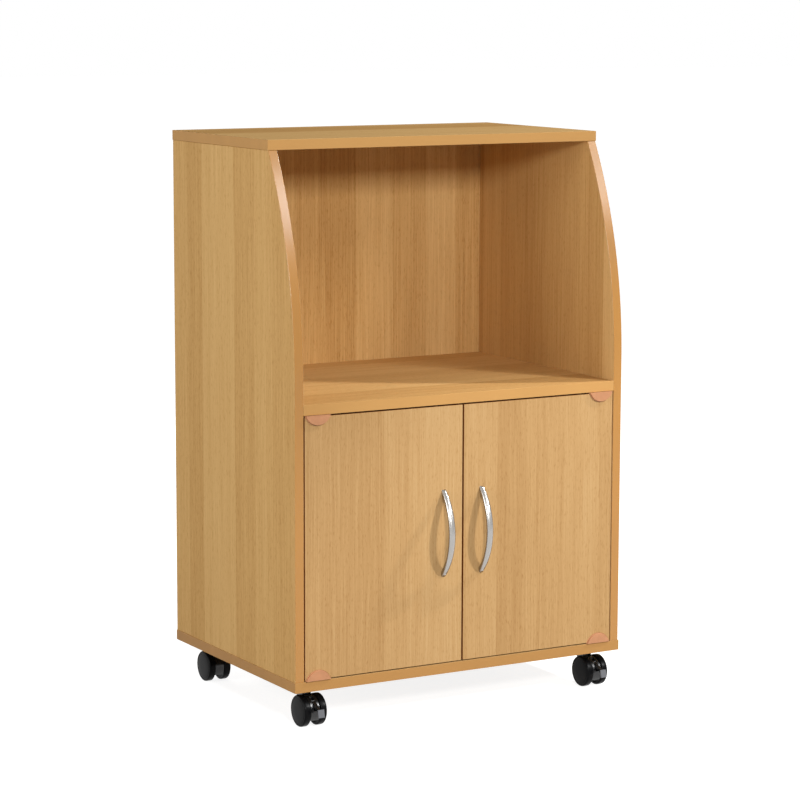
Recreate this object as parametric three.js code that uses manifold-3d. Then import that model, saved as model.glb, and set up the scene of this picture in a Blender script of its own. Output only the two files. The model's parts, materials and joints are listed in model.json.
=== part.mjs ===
// A microwave cart: a beech-faced board carcass with an open bay over a two-door cupboard, on four twin-wheel
// casters. Lengths are in millimetres. Seen from the front, +X is to the right, -Y to the viewer and +Z up.
// The origin is on the floor, in the middle of the overall width and of the overall depth.

import * as THREE from "three";
import { mergeVertices } from "three/addons/utils/BufferGeometryUtils.js";
import Module from "manifold-3d";

const wasm = await Module();
wasm.setup();

// Overall sizes
const cartHeight = 900;
const cartWidth = 596;
const bottomDepth = 420;
const topDepth = 336;
const shelfHeight = 504; // floor to the upper face of the middle shelf

// Boards
const boardThickness = 16; // top, bottom, shelf and doors
const sideThickness = 15;
const panelOverhang = 1; // top and bottom panels beyond the sides, the shelf and the doors
const backThickness = 4;
const rebateDepth = 7; // how far the back panel reaches into each side
const seatGap = 0.3; // between a piece and the pocket or bore that holds it
const curveStart = 36; // height above the shelf where the side's front edge starts to curve back

// Doors
const doorSideGap = 2;
const doorCentreGap = 3;
const doorTopGap = 2.5;
const doorBottomGap = 2;

// Half-moon hinges
const capChord = 44;
const capHeight = 16;
const capProud = 3; // in front of the door
const capTaper = 1; // how much smaller the front outline is, all round
const capPlay = 0.5; // between a cap's flat edge and the board it turns on
const capWall = 1.5; // behind the pin's bore
const pinRadius = 2.5;
const pinInCap = 10.5;
const pinInBush = 8.5;
const pinPlay = 0.15;
const bushRadius = 4;
const bushLength = 10;

// Bow handles
const handleScrewSpacing = 128;
const handleFoot = 10; // length of each foot on the door
const handleReach = 30; // door face to the front of the bow
const handleGrip = 25; // door face to the back of the bow
const handleTip = 4; // height of the blunt end
const handleMidWidth = 9.5;
const handleEndWidth = 6.5;
const handleEdgeInset = 33; // handle centre from the door's free edge
const handleCentreHeight = 285; // above the floor

// Screws
const handleScrewRadius = 1.6;
const handleScrewHeadRadius = 4;
const handleScrewHead = 2.4;
const handleScrewBite = 5.5; // length inside the handle
const crossSlotLength = 5;
const crossSlotWidth = 1;
const crossSlotDepth = 1.2;
const sideScrewRadius = 3.3;
const sideScrewHeadRadius = 5;
const sideScrewHead = 3;
const sideScrewLength = 48;
const tipRoom = 1; // bore left beyond the screw's tip
const sideScrewInset = 80; // from the front and back edges of the bottom panel
const hexSocketRadius = 2.3; // to the corners
const hexSocketDepth = 2.4;

// Magnetic catches
const catchWidth = 40;
const catchDepth = 18;
const catchHeight = 12;
const catchInset = 70; // catch centre from the cart's centre line
const poleReach = 1;
const poleRoot = 4; // length inside the housing
const poleThickness = 1.5;
const poleEndInset = 8; // from the housing's ends
const poleEdgeInset = 2; // from its upper and lower faces
const strikeLength = 40;
const strikeHeight = 10;
const strikeThickness = 1.2;
const strikeDrop = 2; // strike centre below the catch centre
const strikeScrewRadius = 1.5;
const strikeScrewLength = 10;

// Casters
const casterInsetSide = 38; // swivel axis from the bottom panel's side edge
const casterInsetEnd = 44; // swivel axis from the bottom panel's front or back edge
const casterTrail = 17; // axle ahead of the swivel axis
const casterWidth = 40;
const wheelDiameter = 50;
const casterHeadroom = 10; // wheel top to the underside of the bottom panel
const wheelSides = 24;
const wheelPlay = 1; // between a wheel and the hood
const axleRadius = 2.5;
const axlePlay = 0.25;
const wheelFace = 1.7; // wall left outside the end of the axle
const innerRim = { along: 1.8, down: 1.6 }; // chamfer of the tread's inner edge
const shoulder = [{ along: 4.2, down: 0 }, { along: 2.2, down: 0.7 }, { along: 0.5, down: 3 }]; // outer edge
const hoodWidth = 15;
const hoodInset = 2.5; // the hood's drum inside the wheels' tread
const hoodNotch = 13; // the hood's front corner below the axle
const hoodBossDrop = 2; // the underside of the boss below the axle
const hoodBossReach = 9.5; // boss in front of and behind the swivel axis
const crownRadius = 11;
const crownHeight = 4;
const crownLap = 1; // how far the crown and the boss run into each other
const postRadius = 4;
const postLength = 23;
const threadRadius = 3.9;
const collarFlats = 14;
const collarHeight = 5;
const nutBarrelRadius = 5;
const nutBarrelLength = 10;
const nutFlangeRadius = 10;
const nutFlange = 1.5;

// Brake pedals
const pedalWidth = 12;
const pedalHeight = 14;
const pedalThickness = 3;
const pedalClearance = 15; // pedal ahead of the wheels
const pedalDrop = 33; // pedal centre below the bottom panel
const pedalLean = 12; // degrees from upright
const armWidth = 8;
const armThickness = 6;
const brakePivotForward = 12; // pivot ahead of the axle
const brakePivotDrop = 20; // pivot below the bottom panel
const trunnionRadius = 1.5;
const trunnionWall = 1.1; // left in the hood outside each trunnion
const brakeSlotDrop = 33; // slot floor below the bottom panel
const brakeSlotBack = 6; // back wall of the slot ahead of the axle

// Sizes and places worked out from the sizes above
const casterHeight = wheelDiameter + casterHeadroom; // floor to the underside of the bottom panel
const capDepth = boardThickness / 2 + pinRadius + capWall; // into the door from its front face
const handleLength = handleScrewSpacing + handleFoot;
const handleOverhang = handleReach - panelOverhang;
const frontY = (handleOverhang - bottomDepth) / 2;
const backY = frontY + bottomDepth;
const facadeY = frontY + panelOverhang;
const doorBackY = facadeY + boardThickness;
const topFrontY = backY - topDepth;
const backFaceY = backY - backThickness;
const bottomTop = casterHeight + boardThickness;
const shelfUnderside = shelfHeight - boardThickness;
const topUnderside = cartHeight - boardThickness;
const sideOuterX = cartWidth / 2 - panelOverhang;
const sideInnerX = sideOuterX - sideThickness;
const sideMiddleX = sideOuterX - sideThickness / 2;
const doorWidth = sideInnerX - doorSideGap - doorCentreGap / 2;
const doorBottom = bottomTop + doorBottomGap;
const doorTop = shelfUnderside - doorTopGap;
const doorHeight = doorTop - doorBottom;
const pivotFromEdge = capChord / 2 + 0.5;
const pivotX = sideInnerX - doorSideGap - pivotFromEdge;
const pivotY = facadeY + boardThickness / 2;
const capRadius = (capChord * capChord / 4 + capHeight * capHeight) / (2 * capHeight);
const axleHeight = wheelDiameter / 2 * Math.cos(Math.PI / wheelSides); // a flat of the tread is on the floor
const wheelWidth = (casterWidth - hoodWidth) / 2 - wheelPlay;
const hoodRadius = wheelDiameter / 2 - hoodInset;
const pedalForward = wheelDiameter / 2 + pedalClearance; // ahead of the axle
const pedalMiddleHeight = casterHeight - pedalDrop;
const brakePivotHeight = casterHeight - brakePivotDrop;
const brakeSlotFloor = casterHeight - brakeSlotDrop;
const trunnionLength = (hoodWidth - armWidth) / 2 - trunnionWall;

const lap = 0.5; // how far the two lengths of a stepped screw run into each other
const past = 1; // how far a cutting tool runs past the face that it opens
const hexSides = 6;
const smallSides = 12;
const roundSides = 16;
const crownSides = 24;
const fineSides = 32;

const materials = {
  beech: new THREE.MeshStandardMaterial({ color: 0xcda066, roughness: 0.5, metalness: 0 }),
  cap: new THREE.MeshStandardMaterial({ color: 0xc08a5c, roughness: 0.4, metalness: 0 }),
  satin: new THREE.MeshStandardMaterial({ color: 0xb9b6b2, roughness: 0.35, metalness: 1 }),
  steel: new THREE.MeshStandardMaterial({ color: 0xa8a8ac, roughness: 0.4, metalness: 1 }),
  black: new THREE.MeshStandardMaterial({ color: 0x17171a, roughness: 0.35, metalness: 0 }),
  pedal: new THREE.MeshStandardMaterial({ color: 0x35353a, roughness: 0.3, metalness: 0 }),
};

const cart = new THREE.Group();

// A closed geometry becomes a solid body, is joined or cut, and becomes plain geometry again.

function solidOf(geometry) {
  const bare = geometry.index ? geometry.toNonIndexed() : geometry.clone();
  bare.deleteAttribute("normal");
  bare.deleteAttribute("uv");
  const merged = mergeVertices(bare, 1e-4);
  const corners = merged.index.array;
  const kept = [];
  for (let i = 0; i < corners.length; i += 3) {
    const [a, b, c] = [corners[i], corners[i + 1], corners[i + 2]];
    if (a !== b && b !== c && a !== c) kept.push(a, b, c);
  }
  return new wasm.Manifold(new wasm.Mesh({
    numProp: 3,
    vertProperties: new Float32Array(merged.attributes.position.array),
    triVerts: new Uint32Array(kept),
  }));
}

function geometryOf(solid) {
  const mesh = solid.getMesh();
  const geometry = new THREE.BufferGeometry();
  geometry.setAttribute("position", new THREE.BufferAttribute(mesh.vertProperties, 3));
  geometry.setIndex(new THREE.BufferAttribute(mesh.triVerts, 1));
  geometry.computeVertexNormals();
  return geometry;
}

function joined(...geometries) {
  return geometryOf(geometries.map(solidOf).reduce((whole, piece) => whole.add(piece)));
}

function cut(geometry, ...tools) {
  return geometryOf(tools.map(solidOf).reduce((whole, tool) => whole.subtract(tool), solidOf(geometry)));
}

// Shapes

function box(width, depth, height, x = 0, y = 0, z = 0) {
  return new THREE.BoxGeometry(width, depth, height).translate(x, y, z);
}

// A round bar along Z, from z = low to z = high, about the upright line through x, y.
function uprightBar(radius, low, high, x = 0, y = 0, sides = roundSides) {
  const bar = new THREE.CylinderGeometry(radius, radius, high - low, sides).rotateX(Math.PI / 2);
  return bar.translate(x, y, (low + high) / 2);
}

// A round bar along X, centred on x, y, z.
function crossBar(radius, length, x, y, z, sides = roundSides) {
  return new THREE.CylinderGeometry(radius, radius, length, sides).rotateZ(Math.PI / 2).translate(x, y, z);
}

// A round bar along Y, from y = front to y = back.
function throughBar(radius, front, back, x = 0, z = 0, sides = roundSides) {
  return new THREE.CylinderGeometry(radius, radius, back - front, sides).translate(x, (front + back) / 2, z);
}

// A turned piece about Z. The profile is a list of [radius, z], run from the lower end to the upper one.
function turned(profile, sides = roundSides) {
  const points = profile.map(([radius, z]) => new THREE.Vector2(radius, z));
  return new THREE.LatheGeometry(points, sides, Math.PI / sides).rotateX(Math.PI / 2);
}

// A side outline, drawn in Y and Z, given its thickness along X about x = 0.
function extrudedAcross(outline, thickness, curveSegments = 12) {
  const settings = { depth: thickness, bevelEnabled: false, curveSegments };
  const geometry = new THREE.ExtrudeGeometry(outline, settings);
  const toFrame = new THREE.Matrix4().makeBasis(
    new THREE.Vector3(0, 1, 0),
    new THREE.Vector3(0, 0, 1),
    new THREE.Vector3(1, 0, 0),
  );
  return geometry.applyMatrix4(toFrame).translate(-thickness / 2, 0, 0);
}

function addPiece(parent, name, geometry, material, x = 0, y = 0, z = 0) {
  const piece = new THREE.Mesh(geometry, material.clone());
  piece.name = name;
  piece.position.set(x, y, z);
  parent.add(piece);
  return piece;
}

// A board between two corners of the cart's frame, placed by its centre, with bores given in that frame.
function addBoard(name, low, high, bores = []) {
  const size = high.map((value, axis) => value - low[axis]);
  const centre = high.map((value, axis) => (value + low[axis]) / 2);
  const board = box(...size);
  const tools = bores.map((bore) => bore.translate(-centre[0], -centre[1], -centre[2]));
  return addPiece(cart, name, tools.length ? cut(board, ...tools) : board, materials.beech, ...centre);
}

const sides = [{ name: "left", sign: -1 }, { name: "right", sign: 1 }];
const casterPlaces = [
  { name: "front_left", sign: -1, y: frontY + casterInsetEnd, braked: true },
  { name: "front_right", sign: 1, y: frontY + casterInsetEnd, braked: true },
  { name: "rear_left", sign: -1, y: backY - casterInsetEnd, braked: false },
  { name: "rear_right", sign: 1, y: backY - casterInsetEnd, braked: false },
];
const casterX = cartWidth / 2 - casterInsetSide;
const sideScrewPlaces = [
  { name: "front", y: frontY + sideScrewInset },
  { name: "rear", y: backY - sideScrewInset },
];

// Carcass

function makeTopPanel() {
  addBoard("top_panel", [-cartWidth / 2, topFrontY, topUnderside], [cartWidth / 2, backY, cartHeight]);
}

function makeBottomPanel() {
  const bores = [];
  for (const place of casterPlaces) {
    const x = place.sign * casterX;
    bores.push(uprightBar(nutBarrelRadius + seatGap, casterHeight - past, bottomTop + past, x, place.y));
  }
  for (const side of sides) {
    const x = side.sign * pivotX;
    const bushFloor = bottomTop - bushLength - seatGap;
    bores.push(uprightBar(bushRadius + seatGap, bushFloor, bottomTop + past, x, pivotY));
    for (const place of sideScrewPlaces) {
      const screwX = side.sign * sideMiddleX;
      const headTop = casterHeight + sideScrewHead + seatGap;
      const shankRadius = sideScrewRadius + seatGap;
      bores.push(uprightBar(shankRadius, casterHeight - past, bottomTop + past, screwX, place.y));
      bores.push(uprightBar(sideScrewHeadRadius + seatGap, casterHeight - past, headTop, screwX, place.y));
    }
  }
  const low = [-cartWidth / 2, frontY, casterHeight];
  addBoard("bottom_panel", low, [cartWidth / 2, backY, bottomTop], bores);
}

function makeMiddleShelf() {
  const bores = sides.map((side) => {
    const top = shelfUnderside + bushLength + seatGap;
    return uprightBar(bushRadius + seatGap, shelfUnderside - past, top, side.sign * pivotX, pivotY);
  });
  const low = [-sideInnerX, facadeY, shelfUnderside];
  addBoard("middle_shelf", low, [sideInnerX, backFaceY, shelfHeight], bores);
}

function makeBackPanel() {
  const reach = sideInnerX + rebateDepth - seatGap;
  addBoard("back_panel", [-reach, backFaceY, bottomTop], [reach, backY, topUnderside]);
}

// The side's front edge runs up straight, then curves back on one arc to the front of the top panel.
function sideOutline() {
  const curveBottom = shelfHeight + curveStart;
  const rise = topUnderside - curveBottom;
  const setBack = topFrontY + panelOverhang - facadeY;
  const radius = (rise * rise + setBack * setBack) / (2 * setBack);
  const outline = new THREE.Shape();
  outline.moveTo(facadeY, bottomTop);
  outline.lineTo(backY, bottomTop);
  outline.lineTo(backY, topUnderside);
  outline.absarc(facadeY + radius, curveBottom, radius, Math.PI - Math.asin(rise / radius), Math.PI, false);
  outline.closePath();
  return outline;
}

function makeSidePanel(side) {
  const rebateWidth = backThickness + seatGap;
  const rebateX = -side.sign * (sideThickness - rebateDepth + past) / 2;
  const rebateHeight = topUnderside - bottomTop + 2 * past;
  const rebateMiddle = (topUnderside + bottomTop) / 2;
  const rebateY = backY - (rebateWidth - past) / 2;
  const tools = [box(rebateDepth + past, rebateWidth + past, rebateHeight, rebateX, rebateY, rebateMiddle)];
  for (const place of sideScrewPlaces) {
    const boreTop = casterHeight + sideScrewLength + tipRoom;
    tools.push(uprightBar(sideScrewRadius + seatGap, bottomTop - past, boreTop, 0, place.y));
  }
  const geometry = cut(extrudedAcross(sideOutline(), sideThickness), ...tools);
  addPiece(cart, `${side.name}_side_panel`, geometry, materials.beech, side.sign * sideMiddleX);
}

function makeSideScrews(side) {
  const hexSocket = uprightBar(hexSocketRadius, -past, hexSocketDepth, 0, 0, hexSides);
  const head = uprightBar(sideScrewHeadRadius, 0, sideScrewHead);
  const shank = uprightBar(sideScrewRadius, sideScrewHead - lap, sideScrewLength);
  const screw = cut(joined(head, shank), hexSocket);
  for (const place of sideScrewPlaces) {
    const name = `${side.name}_${place.name}_side_screw`;
    addPiece(cart, name, screw.clone(), materials.steel, side.sign * sideMiddleX, place.y, casterHeight);
  }
}

// Doors

// A half-moon lying in X and Z that bulges down, from y backwards by its depth. The margin widens its round
// edge, and its flat edge is at z = flatRise.
function halfMoon(depth, margin, flatRise, y) {
  const radius = capRadius + margin;
  const centreHeight = capRadius - capHeight;
  const disc = throughBar(radius, y, y + depth, 0, centreHeight, fineSides);
  const keepHeight = 2 * capRadius;
  const keep = box(4 * capRadius, depth + 2 * past, keepHeight, 0, y + depth / 2, flatRise - keepHeight / 2);
  return geometryOf(solidOf(disc).intersect(solidOf(keep)));
}

// The cap stands in its pocket up to the door's face, and its front layer is a little smaller.
function hingeCap() {
  const inDoor = halfMoon(capDepth, 0, 0, 0);
  const front = halfMoon(capProud + past, -capTaper, 0, -capProud);
  const pinBore = uprightBar(pinRadius + seatGap / 2, -pinInCap - seatGap, past, 0, boardThickness / 2);
  return cut(joined(inDoor, front), pinBore);
}

function hingeBush() {
  const inner = pinRadius + pinPlay;
  const floor = -pinInBush - seatGap;
  const outside = [[0, -bushLength], [bushRadius, -bushLength], [bushRadius, 0]];
  return turned([...outside, [inner, 0], [inner, floor], [0, floor]]);
}

// Each pin stands in its cap and turns in a bush, which sits flush in the shelf or in the bottom panel.
function makeHinges(side, door) {
  const hinges = [
    { name: "upper", up: 1, edge: shelfUnderside },
    { name: "lower", up: -1, edge: bottomTop },
  ];
  for (const { name, up, edge } of hinges) {
    const flat = edge - up * capPlay;
    const cap = hingeCap().rotateY(up > 0 ? 0 : Math.PI);
    addPiece(door, `${side.name}_door_${name}_hinge_cap`, cap, materials.cap, 0, facadeY - pivotY, flat);
    const ends = [flat - up * pinInCap, edge + up * pinInBush];
    const pin = uprightBar(pinRadius, Math.min(...ends), Math.max(...ends));
    addPiece(door, `${side.name}_door_${name}_hinge_pin`, pin, materials.steel);
    const bush = hingeBush().rotateX(up > 0 ? Math.PI : 0);
    const bushName = `${side.name}_${name}_hinge_bush`;
    addPiece(cart, bushName, bush, materials.cap, side.sign * pivotX, pivotY, edge);
  }
}

// Two arcs through the tips bound the bow; each station is a rounded section between them.
function bowArc(halfChord, rise, along) {
  const radius = (halfChord * halfChord + rise * rise) / (2 * rise);
  const angle = Math.asin(halfChord / radius) * along;
  return { z: radius * Math.sin(angle), y: rise - radius * (1 - Math.cos(angle)) };
}

function bowStations() {
  const stationCount = 16;
  const archShare = 0.985; // of the inner arc; the feet close the rest
  const halfLength = handleLength / 2;
  const stations = [];
  for (let i = 0; i <= stationCount; i += 1) {
    const along = 2 * i / stationCount - 1;
    const outer = bowArc(halfLength, handleReach - handleTip, along);
    outer.y += handleTip;
    const inner = bowArc(halfLength - handleFoot, handleGrip, along * archShare);
    const width = handleEndWidth + (handleMidWidth - handleEndWidth) * Math.cos(along * Math.PI / 2);
    stations.push({ outer, inner, width });
  }
  for (const end of [-1, 1]) {
    const foot = {
      outer: { z: end * halfLength, y: 0 },
      inner: { z: end * (halfLength - handleFoot), y: 0 },
      width: handleEndWidth,
    };
    if (end < 0) stations.unshift(foot);
    else stations.push(foot);
  }
  return stations;
}

function handleBow() {
  const sectionPoints = 12;
  const vertices = [];
  const faces = [];
  const stations = bowStations();
  for (const { outer, inner, width } of stations) {
    for (let k = 0; k < sectionPoints; k += 1) {
      const turn = 2 * Math.PI * (k + 0.5) / sectionPoints;
      const across = Math.sign(Math.cos(turn)) * Math.sqrt(Math.abs(Math.cos(turn)));
      const through = 0.5 + 0.5 * Math.sign(Math.sin(turn)) * Math.sqrt(Math.abs(Math.sin(turn)));
      const y = inner.y + (outer.y - inner.y) * through;
      const z = inner.z + (outer.z - inner.z) * through;
      vertices.push(across * width / 2, -y, z);
    }
  }
  const last = (stations.length - 1) * sectionPoints;
  for (let k = 1; k < sectionPoints - 1; k += 1) {
    faces.push(0, k, k + 1, last, last + k + 1, last + k);
  }
  for (let ring = 0; ring < last; ring += sectionPoints) {
    for (let k = 0; k < sectionPoints; k += 1) {
      const next = (k + 1) % sectionPoints;
      const [a, b, c, d] = [ring + k, ring + next, ring + sectionPoints + k, ring + sectionPoints + next];
      faces.push(a, d, b, a, c, d);
    }
  }
  const geometry = new THREE.BufferGeometry();
  geometry.setAttribute("position", new THREE.Float32BufferAttribute(vertices, 3));
  geometry.setIndex(faces);
  return geometry;
}

function makeHandle(side, door, x) {
  const bores = [-1, 1].map((end) => {
    const z = end * handleScrewSpacing / 2;
    return throughBar(handleScrewRadius + seatGap / 2, -handleScrewBite - seatGap, past, 0, z, smallSides);
  });
  const z = handleCentreHeight;
  const y = facadeY - pivotY;
  addPiece(door, `${side.name}_handle`, cut(handleBow(), ...bores), materials.satin, x, y, z);
  for (const [place, end] of [["upper", 1], ["lower", -1]]) {
    const headFace = boardThickness + handleScrewHead;
    const shank = throughBar(handleScrewRadius, -handleScrewBite, boardThickness + lap, 0, 0, smallSides);
    const head = throughBar(handleScrewHeadRadius, boardThickness, headFace);
    const slots = [0, 1].map((turn) => {
      const slot = box(crossSlotLength, 2 * crossSlotDepth, crossSlotWidth);
      return slot.rotateY(turn * Math.PI / 2).translate(0, headFace, 0);
    });
    const screw = cut(joined(shank, head), ...slots);
    const name = `${side.name}_handle_${place}_screw`;
    addPiece(door, name, screw, materials.steel, x, y, z + end * handleScrewSpacing / 2);
  }
}

function makeCatch(side, door) {
  const x = side.sign * catchInset;
  const strikeBackY = doorBackY + strikeThickness;
  const poleY = strikeBackY + seatGap;
  const middle = shelfUnderside - catchHeight / 2;
  const housing = box(catchWidth, catchDepth, catchHeight, 0, poleReach + catchDepth / 2, 0);
  const poles = [-1, 1].map((end) => {
    const z = end * (catchHeight / 2 - poleEdgeInset - poleThickness / 2);
    const poleLength = poleReach + poleRoot;
    return box(catchWidth - 2 * poleEndInset, poleLength, poleThickness, 0, poleLength / 2, z);
  });
  addPiece(cart, `${side.name}_catch`, joined(housing, ...poles), materials.black, x, poleY, middle);
  const plate = box(strikeLength, strikeThickness, strikeHeight, 0, strikeThickness / 2, 0);
  const screw = throughBar(strikeScrewRadius, -strikeScrewLength, strikeThickness / 2, 0, 0, smallSides);
  const strike = joined(plate, screw);
  const place = [x - side.sign * pivotX, doorBackY - pivotY, middle - strikeDrop];
  addPiece(door, `${side.name}_strike_plate`, strike, materials.steel, ...place);
}

function makeDoor(side) {
  const door = new THREE.Group();
  door.position.set(side.sign * pivotX, pivotY, 0);
  cart.add(door);
  const inward = -side.sign;
  const centreX = inward * (doorWidth / 2 - pivotFromEdge);
  const handleX = inward * (doorWidth - pivotFromEdge - handleEdgeInset);
  const catchX = side.sign * catchInset - side.sign * pivotX;
  const frontFace = facadeY - pivotY;
  const backFace = frontFace + boardThickness;
  const tools = [];
  const pocket = halfMoon(capDepth + seatGap + past, seatGap / 2, past, -past);
  tools.push(pocket.clone().translate(0, frontFace, shelfUnderside - capPlay));
  tools.push(pocket.clone().rotateY(Math.PI).translate(0, frontFace, bottomTop + capPlay));
  for (const end of [-1, 1]) {
    const z = handleCentreHeight + end * handleScrewSpacing / 2;
    const bore = handleScrewRadius + seatGap;
    tools.push(throughBar(bore, frontFace - past, backFace + past, handleX, z, smallSides));
  }
  const strikeZ = shelfUnderside - catchHeight / 2 - strikeDrop;
  const strikeBore = strikeScrewRadius + seatGap;
  const strikeBoreFloor = backFace - strikeScrewLength - seatGap;
  tools.push(throughBar(strikeBore, strikeBoreFloor, backFace + past, catchX, strikeZ, smallSides));
  const middle = (doorTop + doorBottom) / 2;
  const board = box(doorWidth, boardThickness, doorHeight, centreX, 0, middle);
  addPiece(door, `${side.name}_door`, cut(board, ...tools), materials.beech);
  makeHinges(side, door);
  makeHandle(side, door, handleX);
  makeCatch(side, door);
}

// Casters

function teeNut() {
  const bore = threadRadius + seatGap;
  return turned([
    [bore, -nutBarrelLength], [nutBarrelRadius, -nutBarrelLength], [nutBarrelRadius, 0],
    [nutFlangeRadius, 0], [nutFlangeRadius, nutFlange], [bore, nutFlange], [bore, -nutBarrelLength],
  ]);
}

function casterStem() {
  const collarBottom = casterHeight - collarHeight;
  const collar = uprightBar(collarFlats / Math.sqrt(3), collarBottom, casterHeight, 0, 0, hexSides);
  const post = uprightBar(postRadius, collarBottom - postLength, collarBottom + past);
  const thread = uprightBar(threadRadius, casterHeight - past, bottomTop + nutFlange - seatGap);
  return joined(post, collar, thread);
}

// The hood is a drum about the axle joined to an upright boss about the swivel axis.
function hoodOutline() {
  const top = casterHeight - collarHeight - seatGap - crownHeight + crownLap;
  const bossFrontAngle = Math.acos((casterTrail - hoodBossReach) / hoodRadius);
  const notchAngle = Math.asin(hoodNotch / hoodRadius);
  const outline = new THREE.Shape();
  outline.moveTo(-casterTrail + hoodRadius * Math.cos(notchAngle), axleHeight - hoodNotch);
  outline.lineTo(hoodBossReach, axleHeight - hoodBossDrop);
  outline.lineTo(hoodBossReach, top);
  outline.lineTo(-hoodBossReach, top);
  outline.absarc(-casterTrail, axleHeight, hoodRadius, bossFrontAngle, Math.PI + notchAngle, false);
  outline.closePath();
  return outline;
}

function casterHood(braked) {
  const top = casterHeight - collarHeight - seatGap;
  const crown = uprightBar(crownRadius, top - crownHeight, top, 0, 0, crownSides);
  const body = joined(extrudedAcross(hoodOutline(), hoodWidth, 8), crown);
  const postBottom = casterHeight - collarHeight - postLength - seatGap;
  const tools = [
    uprightBar(postRadius + seatGap, postBottom, casterHeight),
    crossBar(axleRadius + seatGap / 2, hoodWidth + 2 * past, 0, -casterTrail, axleHeight),
  ];
  if (braked) {
    const slotDepth = hoodRadius;
    const slotMiddle = -casterTrail - brakeSlotBack - slotDepth / 2;
    const slotHeight = casterHeight - brakeSlotFloor;
    const slot = box(armWidth + 2 * seatGap, slotDepth, slotHeight);
    tools.push(slot.translate(0, slotMiddle, brakeSlotFloor + slotHeight / 2));
    const trunnionBore = armWidth + 2 * (trunnionLength + seatGap);
    const pivot = -casterTrail - brakePivotForward;
    tools.push(crossBar(trunnionRadius + seatGap / 2, trunnionBore, 0, pivot, brakePivotHeight));
  }
  return cut(body, ...tools);
}

// One wheel about the axle: a shallow domed disc with rounded rims and a blind hub, outer face up.
function casterWheel() {
  const radius = wheelDiameter / 2;
  const inner = casterWidth / 2 - wheelWidth;
  const outer = casterWidth / 2;
  const bore = axleRadius + axlePlay;
  const hubEnd = outer - wheelFace;
  const hub = [[0, hubEnd], [bore, hubEnd], [bore, inner]];
  const tread = [[radius - innerRim.down, inner], [radius, inner + innerRim.along]];
  const face = shoulder.map(({ along, down }) => [radius - down, outer - along]);
  return turned([...hub, ...tread, ...face, [0, outer]], wheelSides);
}

// The pedal hangs in front of the wheels on an arm that turns on two short trunnions inside the hood.
function brakePedal() {
  const reach = pedalForward - brakePivotForward;
  const drop = brakePivotHeight - pedalMiddleHeight;
  const slope = Math.atan2(drop, reach);
  const armLength = Math.hypot(reach, drop);
  const arm = box(armWidth, armLength, armThickness, 0, -armLength / 2, 0).rotateX(slope);
  const heel = crossBar(armThickness / 2, armWidth, 0, 0, 0);
  const trunnions = crossBar(trunnionRadius, armWidth + 2 * trunnionLength, 0, 0, 0);
  const plate = box(pedalWidth, pedalThickness, pedalHeight).rotateX(-THREE.MathUtils.degToRad(pedalLean));
  plate.translate(0, -reach, -drop);
  return joined(arm, heel, trunnions, plate);
}

function makeCaster(place) {
  const caster = new THREE.Group();
  caster.position.set(place.sign * casterX, place.y, 0);
  cart.add(caster);
  const name = (piece) => `${place.name}_caster_${piece}`;
  addPiece(caster, name("tee_nut"), teeNut(), materials.steel, 0, 0, bottomTop);
  addPiece(caster, name("stem"), casterStem(), materials.steel);
  addPiece(caster, name("hood"), casterHood(place.braked), materials.black);
  const axle = crossBar(axleRadius, casterWidth - 2 * (wheelFace + seatGap), 0, 0, 0);
  addPiece(caster, name("axle"), axle, materials.steel, 0, -casterTrail, axleHeight);
  for (const [wheelSide, turn] of [["left_wheel", -1], ["right_wheel", 1]]) {
    const wheel = addPiece(caster, name(wheelSide), casterWheel(), materials.black);
    wheel.position.set(0, -casterTrail, axleHeight);
    wheel.rotation.y = turn * Math.PI / 2;
  }
  if (place.braked) {
    const y = -casterTrail - brakePivotForward;
    addPiece(caster, name("brake_pedal"), brakePedal(), materials.pedal, 0, y, brakePivotHeight);
  }
}

makeTopPanel();
makeBottomPanel();
makeMiddleShelf();
makeBackPanel();
sides.forEach(makeSidePanel);
sides.forEach(makeSideScrews);
sides.forEach(makeDoor);
casterPlaces.forEach(makeCaster);

export default cart;
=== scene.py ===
# A beech microwave cart on four twin-wheel casters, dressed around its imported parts.
# Lengths are in metres, +Z is up and the doors face -Y.
import json
import math

import bpy
from mathutils import Euler, Matrix, Vector


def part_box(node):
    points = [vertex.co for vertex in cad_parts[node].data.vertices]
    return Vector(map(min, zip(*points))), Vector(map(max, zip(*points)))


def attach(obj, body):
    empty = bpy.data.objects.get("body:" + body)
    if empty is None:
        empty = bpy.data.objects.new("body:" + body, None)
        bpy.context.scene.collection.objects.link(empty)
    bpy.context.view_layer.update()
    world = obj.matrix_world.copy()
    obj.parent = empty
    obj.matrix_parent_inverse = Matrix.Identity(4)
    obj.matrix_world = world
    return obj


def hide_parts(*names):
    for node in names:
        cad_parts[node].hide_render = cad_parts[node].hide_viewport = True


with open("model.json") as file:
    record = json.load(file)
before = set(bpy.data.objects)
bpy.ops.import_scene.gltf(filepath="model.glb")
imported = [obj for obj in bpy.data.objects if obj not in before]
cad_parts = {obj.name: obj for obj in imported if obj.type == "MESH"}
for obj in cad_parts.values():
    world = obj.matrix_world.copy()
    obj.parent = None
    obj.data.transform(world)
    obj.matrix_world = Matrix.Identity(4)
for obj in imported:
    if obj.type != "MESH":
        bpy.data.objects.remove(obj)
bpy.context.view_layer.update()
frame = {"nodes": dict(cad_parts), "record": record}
mm = 0.001
hair = 0.01 * mm  # what lies as near as this to a plane counts as on it
sides = ("left", "right")
levels = ("upper", "lower")
casterNames = [end + "_" + side for end in ("front", "rear") for side in sides]
bodies = frame["record"]["behaviour"]["bodies"]
bodyOfNode = {node: body for body, members in bodies.items() for node in members}
print("frame loaded,", len(frame["nodes"]), "nodes")


# working by hand: selecting, cutting and rounding

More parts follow.
